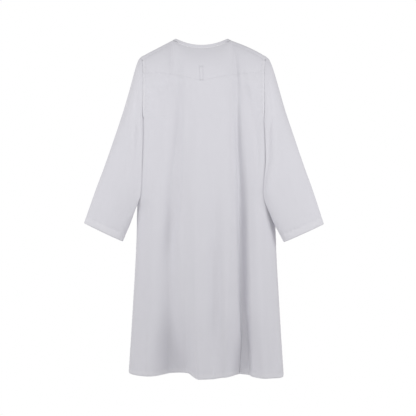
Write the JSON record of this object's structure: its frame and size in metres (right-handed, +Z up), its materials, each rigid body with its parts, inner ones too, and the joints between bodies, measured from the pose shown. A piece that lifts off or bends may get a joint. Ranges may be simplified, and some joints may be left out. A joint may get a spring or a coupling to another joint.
{
  "type": "thobe robe",
  "caption": "Long white collarless thobe with a pointed back yoke and long straight sleeves, in its worn, hollow shape with deep folds at the hem.",
  "frame": {"origin": "midway between the two shoulder points beside the neck, at their height", "axes": "+Z up, -Y toward the front, +X toward the wearer's left"},
  "size_m": [0.8528, 0.2753, 1.2031],
  "materials": {
    "cloth": "matte woven cloth, pale grey white",
    "sleeve_cloth": "matte woven cloth, pale grey white",
    "binding_cloth": "matte woven cloth, folded and stitched",
    "button_white": "satin white"
  },
  "bodies": {
    "root": {"back_panel": "cloth", "back_yoke": "cloth", "front_panel": "cloth", "placket": "cloth", "sleeve_left": "sleeve_cloth", "sleeve_right": "sleeve_cloth", "neck_binding": "binding_cloth", "locker_loop": "binding_cloth", "button_1": "button_white", "button_2": "button_white", "button_3": "button_white", "button_4": "button_white"}
  },
  "joints": []
}
